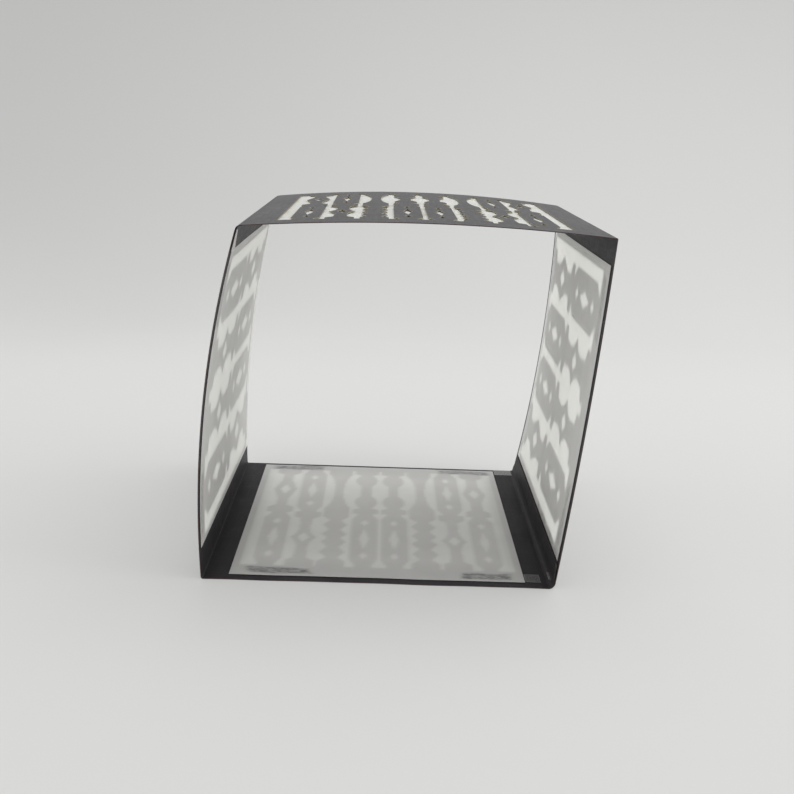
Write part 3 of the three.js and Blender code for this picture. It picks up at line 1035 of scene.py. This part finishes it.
def blended_fold(name, a, b, u_a, levels_a, end_a, butt=False, bead=0.0):
    """The bent strip of card between panel a's far edge and panel b's near edge. levels_a are
    the sheet's inner and outer levels on a, and end_a is how far it reaches along the band. Where
    panel a ends in a raw edge, the fold butts against it. A scored fold has a bead inside."""
    sharpness = OUTER_SHARPNESS[name]
    rings = []
    for share in np.linspace(-1, 1, FOLD_STATIONS):
        y_a, y_b = share * end_a, share * REAR
        crease = a.place(a.width / 2, (y_a + y_b) / 2, 0)
        outer_start = (a, a.end + BUTT_GAP, y_a, CARD) if butt else (a, u_a, y_a, levels_a[1])
        outer = fold_side(crease, (outer_start, (b, b.start, y_b, CARD)), sharpness)
        inner_ends = ((a, u_a, y_a, levels_a[0]), (b, b.start, y_b, 0))
        inner = fold_side(crease, inner_ends, INNER_SHARPNESS)
        inwards = -(a.outward + b.outward) * MM
        inner = inner + np.outer(bead * BEAD_PROFILE, inwards)
        under = [a.place(u, y_a, levels_a[1]) for u in (u_a, a.end + BUTT_GAP)] if butt else []
        rings.append(np.array([*under, *outer, *inner[::-1]]))
    points, faces = loft(rings)
    piece = make_piece(name, points, faces, [CARD_FOLD])
    a.place(u_a, 0, 0)
    b.place(b.start, 0, 0)
    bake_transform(piece)
    return piece


blended_fold("lower_left_fold", BASE, LEFT_WALL, BASE.end, (0, CARD), REAR, bead=SCORE_BEAD)
for name, wall, panel, glue_tab in (
    ("lower_right_fold", RIGHT_WALL, BASE, "lower_glue_tab"),
    ("upper_left_fold", LEFT_WALL, TOP, "upper_glue_tab"),
):
    _, high, _, rear = wall.local_box(glue_tab)
    blended_fold(name, wall, panel, high, TAB_LEVELS, rear, butt=True)


def corner_highlight_sliver():
    """A sliver of clear tape in the lower right fold, near its front end, painted pale all over as
    a highlight.
    """
    u_low, u_high = (BASE.start - reach for reach in SLIVER_REACH)
    u, y, faces = grid(np.linspace(u_low, u_high, 3), np.linspace(*SLIVER_SPAN, 5) + FRONT)
    closed, _ = thicken(faces, len(u))
    points = np.concatenate([BASE.place(u, y, n) for n in SLIVER_LEVELS])
    piece = make_piece("corner_tape_sliver", points, closed, [TAPE_PAINTED_GLARE])
    # Its pale rim colour all over: a painted highlight
    set_attribute(piece, "edge", np.ones(len(points)))
    ends = RIGHT_WALL.place(RIGHT_WALL.end, 0, 0), BASE.place(BASE.start, 0, 0)
    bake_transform(piece)


corner_highlight_sliver()


def open_corner(name, panel, edge, crease_u):
    """Half of the fold at the corner where the band's linkage is open: a short flange, rounded
    about the crease line, so that the two halves stay together as they turn."""
    towards_crease = panel.across * math.copysign(1, crease_u - edge)
    turns = np.linspace(math.pi / 2, 0, FOLD_POINTS)[:, None]
    spokes = np.cos(turns) * towards_crease + np.sin(turns) * panel.outward
    rings = []
    for y in np.linspace(FRONT, REAR, FOLD_STATIONS):
        arc = panel.place(crease_u, y, 0) + CORNER_RADIUS[name] * CARD * MM * spokes
        rings.append(np.array([*arc, panel.place(edge, y, 0), panel.place(edge, y, CARD)]))
    points, faces = loft(rings)
    piece = make_piece(name, points, faces, [CARD_FOLD])
    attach(piece, panel.name)
    return piece


open_corner("upper_right_fold_top", TOP, TOP.end, TOP.width / 2)
open_corner("upper_right_fold_wall", RIGHT_WALL, RIGHT_WALL.start, -RIGHT_WALL.width / 2)


# ---- Stage, light and camera -------------------------------------------------------------------

FLOOR_HALF = 5
FLOOR_FRONT = -2.2
FLOOR_LINES = (-0.4, 0.0)
SWEEP_START = 0.42
SWEEP_RADIUS = 0.35
WALL_HEIGHT = 2.2
SWEEP_STEPS = 24
BACKDROP_FLOOR = (0.28, 0.28, 0.275)
# Painted shade: the wall darker than the floor, and darker on the left than on the right
BACKDROP_SHADED_LEFT = (0.175, 0.176, 0.175)
BACKDROP_LIT_RIGHT = (0.24, 0.24, 0.238)
BACKDROP_ACROSS = (-0.5, 0.25)
BACKDROP_FAR = (0.25, 0.7)
# Painted light: the backdrop's own glow
BACKDROP_GLOW = 0.31
BACKDROP_GLOW_COLOUR = (1.0, 1.0, 0.985)


def backdrop_material():
    """The paper of a light tent, which is lit from outside too and so glows a little: the glow is
    painted light. Its colour holds painted shade as well, darker towards the far wall and darker
    on the left than on the right.
    """
    shader = Shader("backdrop", BACKDROP_FLOOR, roughness=0.9, specular=0.2)
    parts = shader.node("ShaderNodeSeparateXYZ")
    shader.link(shader.place, parts.inputs["Vector"])
    cloud = shader.ramp(shader.noise(2.5, detail=2), 0.3, 0.7, -0.03, 0.03)
    distance = shader.math("ADD", parts.outputs["Y"], cloud)
    side = shader.ramp(parts.outputs["X"], *BACKDROP_ACROSS)
    wall = shader.mix(side, BACKDROP_SHADED_LEFT, BACKDROP_LIT_RIGHT)
    shader.colour(shader.mix(shader.ramp(distance, *BACKDROP_FAR), BACKDROP_FLOOR, wall))
    shader.principled.inputs["Emission Color"].default_value = (*BACKDROP_GLOW_COLOUR, 1)
    shader.principled.inputs["Emission Strength"].default_value = BACKDROP_GLOW
    shader.bump(shader.noise(6, detail=2), 0.1, BACKDROP_RELIEF)
    return shader.material


def make_backdrop():
    """A floor that sweeps up behind the object into a plain wall."""
    profile = [(y, 0.0) for y in (FLOOR_FRONT, *FLOOR_LINES, SWEEP_START)]
    for angle in np.linspace(0, math.pi / 2, SWEEP_STEPS)[1:]:
        y = SWEEP_START + SWEEP_RADIUS * math.sin(angle)
        profile.append((y, SWEEP_RADIUS * (1 - math.cos(angle))))
    profile.append((SWEEP_START + SWEEP_RADIUS, WALL_HEIGHT))
    points = [(x, y, z) for y, z in profile for x in (-FLOOR_HALF, FLOOR_HALF)]
    faces = [(2 * i, 2 * i + 1, 2 * i + 3, 2 * i + 2) for i in range(len(profile) - 1)]
    mesh = bpy.data.meshes.new("backdrop")
    mesh.from_pydata(points, [], faces)
    mesh.materials.append(backdrop_material())
    mesh.shade_smooth()
    backdrop = bpy.data.objects.new("backdrop", mesh)
    bpy.context.scene.collection.objects.link(backdrop)


ROOM_COLOUR = (1.0, 1.0, 0.995)
ROOM_STRENGTH = 0.66

# Square area lights: where each stands, where it points, its side and its power in watts
LIGHTS = {
    "top_light": ((0.2, 0.2, 1.7), (0, 0.1, 0), 1.6, 9),
    "rear_light": ((0.2, 0.6, 1.0), (0, 0, 0.05), 1.0, 7.5),
    "right_light": ((1.4, 0.05, 1.1), (0, 0.05, 0.05), 1.4, 14),
    "left_light": ((-1.2, 0.1, 0.6), (0, 0.05, 0.08), 1.2, 4),
    "front_left_light": ((-0.9, -0.9, 0.5), (0.05, 0, 0.08), 0.8, 1.0),
}


def area_light(name, place, target, side, power):
    """A square light at one point that faces another."""
    data = bpy.data.lights.new(name, "AREA")
    data.shape = "SQUARE"
    data.size = side
    data.energy = power
    light = bpy.data.objects.new(name, data)
    light.location = place
    light.rotation_euler = (Vector(target) - Vector(place)).to_track_quat("-Z", "Y").to_euler()
    bpy.context.scene.collection.objects.link(light)


def make_light():
    """Soft, nearly even light, as in a light tent: a bright room and large, weak lights."""
    world = bpy.data.worlds.new("room")
    world.use_nodes = True
    background = world.node_tree.nodes["Background"]
    background.inputs["Color"].default_value = (*ROOM_COLOUR, 1)
    background.inputs["Strength"].default_value = ROOM_STRENGTH
    bpy.context.scene.world = world
    for name, settings in LIGHTS.items():
        area_light(name, *settings)


CAMERA_PLACE = (-0.00903, -0.5080, 0.1891)
CAMERA_YAW = math.radians(0.985)
CAMERA_PITCH = math.radians(14.23)
CAMERA_ROLL = math.radians(2.107)
CAMERA_LENS = 50.6
SENSOR = 36


def make_camera():
    """A camera that looks along +Y, a little down and to the right, and slightly rolled."""
    data = bpy.data.cameras.new("camera")
    data.sensor_width = SENSOR
    data.lens = CAMERA_LENS
    data.clip_start = 0.01
    camera = bpy.data.objects.new("camera", data)
    ahead = Vector((
        math.sin(CAMERA_YAW) * math.cos(CAMERA_PITCH),
        math.cos(CAMERA_YAW) * math.cos(CAMERA_PITCH),
        -math.sin(CAMERA_PITCH),
    ))
    level = Vector((math.cos(CAMERA_YAW), -math.sin(CAMERA_YAW), 0))
    upright = level.cross(ahead)
    right = math.cos(CAMERA_ROLL) * level + math.sin(CAMERA_ROLL) * upright
    up = -math.sin(CAMERA_ROLL) * level + math.cos(CAMERA_ROLL) * upright
    rotation = Matrix((right, up, -ahead)).transposed().to_4x4()
    camera.matrix_world = Matrix.Translation(CAMERA_PLACE) @ rotation
    bpy.context.scene.collection.objects.link(camera)
    bpy.context.scene.camera = camera


make_backdrop()
make_light()
make_camera()
bpy.context.scene.view_settings.view_transform = "Standard"
